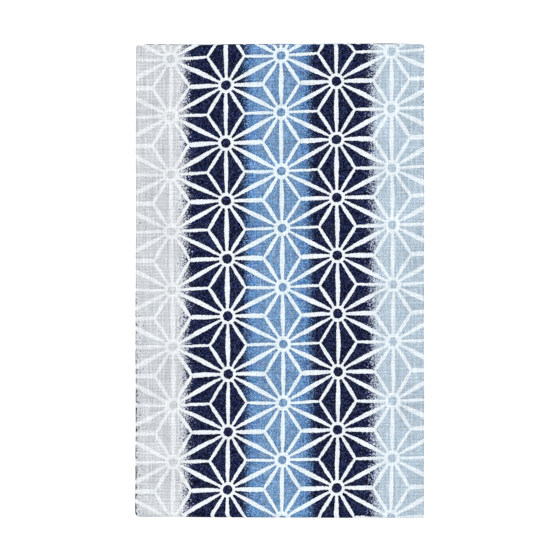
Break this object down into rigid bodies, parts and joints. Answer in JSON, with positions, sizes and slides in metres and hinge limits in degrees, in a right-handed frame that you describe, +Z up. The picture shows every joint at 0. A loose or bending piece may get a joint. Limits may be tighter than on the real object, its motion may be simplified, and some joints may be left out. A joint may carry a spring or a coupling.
{
  "type": "folded tenugui towel",
  "caption": "Thin plain-weave cotton towel with cut ends and a hemp-leaf pattern in dyed bands, folded in three and then back and forth to lie flat.",
  "frame": {"origin": "middle of the folded towel's outline, on the surface that it lies on", "axes": "+X to the right side of the face, +Y to its upper end, +Z up out of the cloth"},
  "size_m": [0.1102, 0.1812, 0.0079],
  "materials": {
    "dyed_cotton": "matt plain weave, dyed in bands with undyed lines"
  },
  "bodies": {
    "root": {"folded_cloth": "dyed_cotton"}
  },
  "joints": []
}
